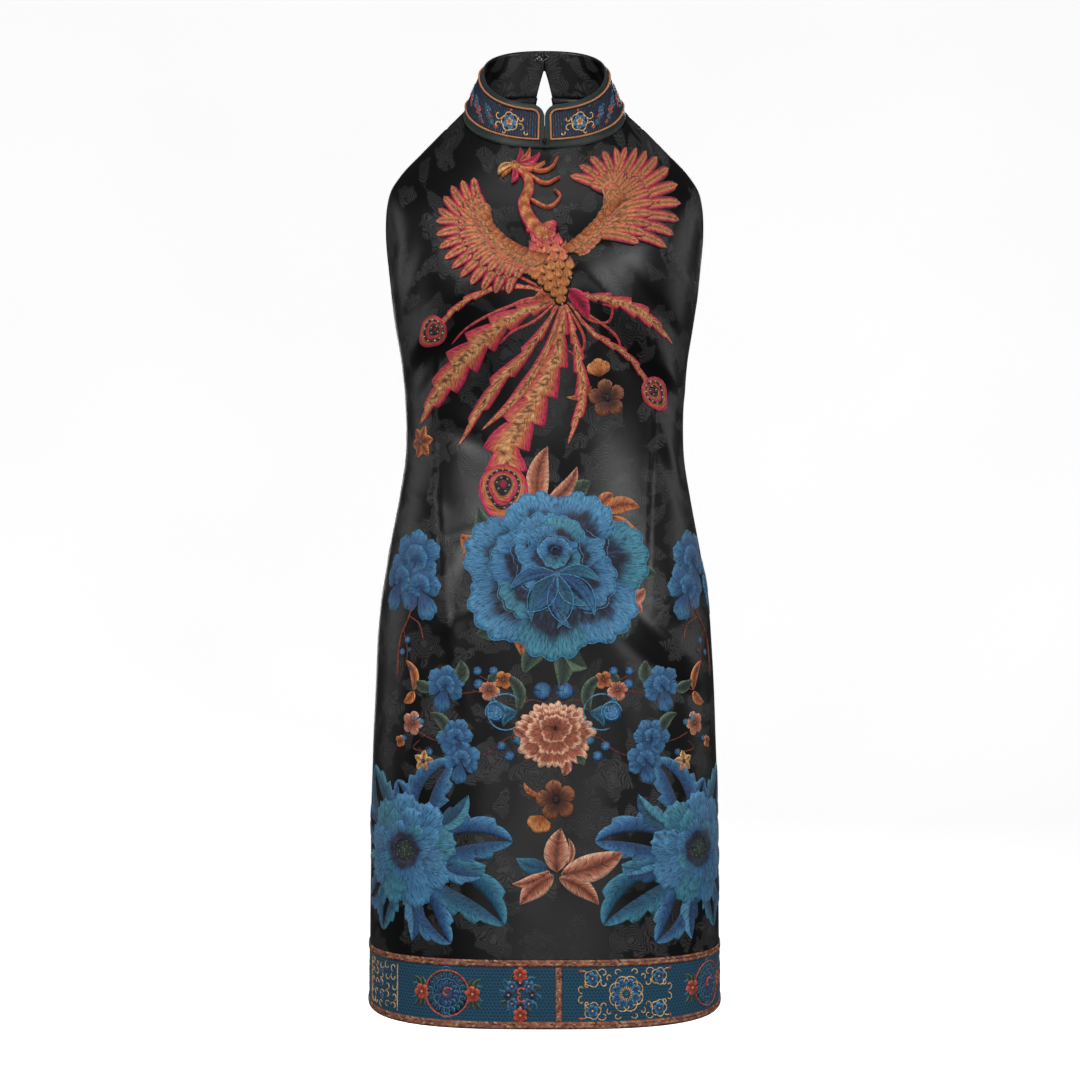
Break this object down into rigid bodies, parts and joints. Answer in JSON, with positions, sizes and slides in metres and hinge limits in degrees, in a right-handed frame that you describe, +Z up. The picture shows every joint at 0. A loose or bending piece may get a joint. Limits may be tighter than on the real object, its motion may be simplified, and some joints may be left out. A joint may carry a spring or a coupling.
{
  "type": "halter dress",
  "caption": "Short fitted halter dress with a stand collar, a back keyhole and a broad hem border, filled out as worn with no wearer.",
  "frame": {"origin": "middle of the neck seam, where the wearer's neck holds the dress", "axes": "+Z up, the front faces -Y, +X towards the wearer's left side"},
  "size_m": [0.3496, 0.2467, 0.962],
  "materials": {
    "black_jacquard_satin": "satin with tone-on-tone jacquard figures",
    "dark_teal_satin": "soft satin",
    "navy_ribbed_brocade": "fine upright ribs with woven scrolls",
    "copper_cord": "twisted copper thread",
    "peacock_blue_brocade": "fine honeycomb brocade with woven medallions",
    "copper_braid": "flat woven braid of copper thread",
    "black_horn": "polished",
    "blue_silk": "raised needlework in blue silk thread",
    "copper_silk": "raised needlework in copper, crimson and gold silk thread",
    "green_silk": "raised needlework in dull green silk thread",
    "glass_bead": "small cut beads of black glass"
  },
  "bodies": {
    "root": {"front_panel": "black_jacquard_satin", "back_panel_left": "black_jacquard_satin", "back_panel_right": "black_jacquard_satin", "collar_left": "dark_teal_satin", "collar_right": "dark_teal_satin", "collar_inset_left": "navy_ribbed_brocade", "collar_inset_right": "navy_ribbed_brocade", "collar_cord_left": "copper_cord", "collar_cord_right": "copper_cord", "border_front": "peacock_blue_brocade", "border_back": "peacock_blue_brocade", "seam_braid_front": "copper_braid", "seam_braid_back": "copper_braid", "hem_braid_front": "copper_braid", "hem_braid_back": "copper_braid", "border_divider": "copper_braid", "neck_button": "black_horn", "neck_loop": "black_horn", "front_knot": "black_horn"}
  },
  "joints": []
}
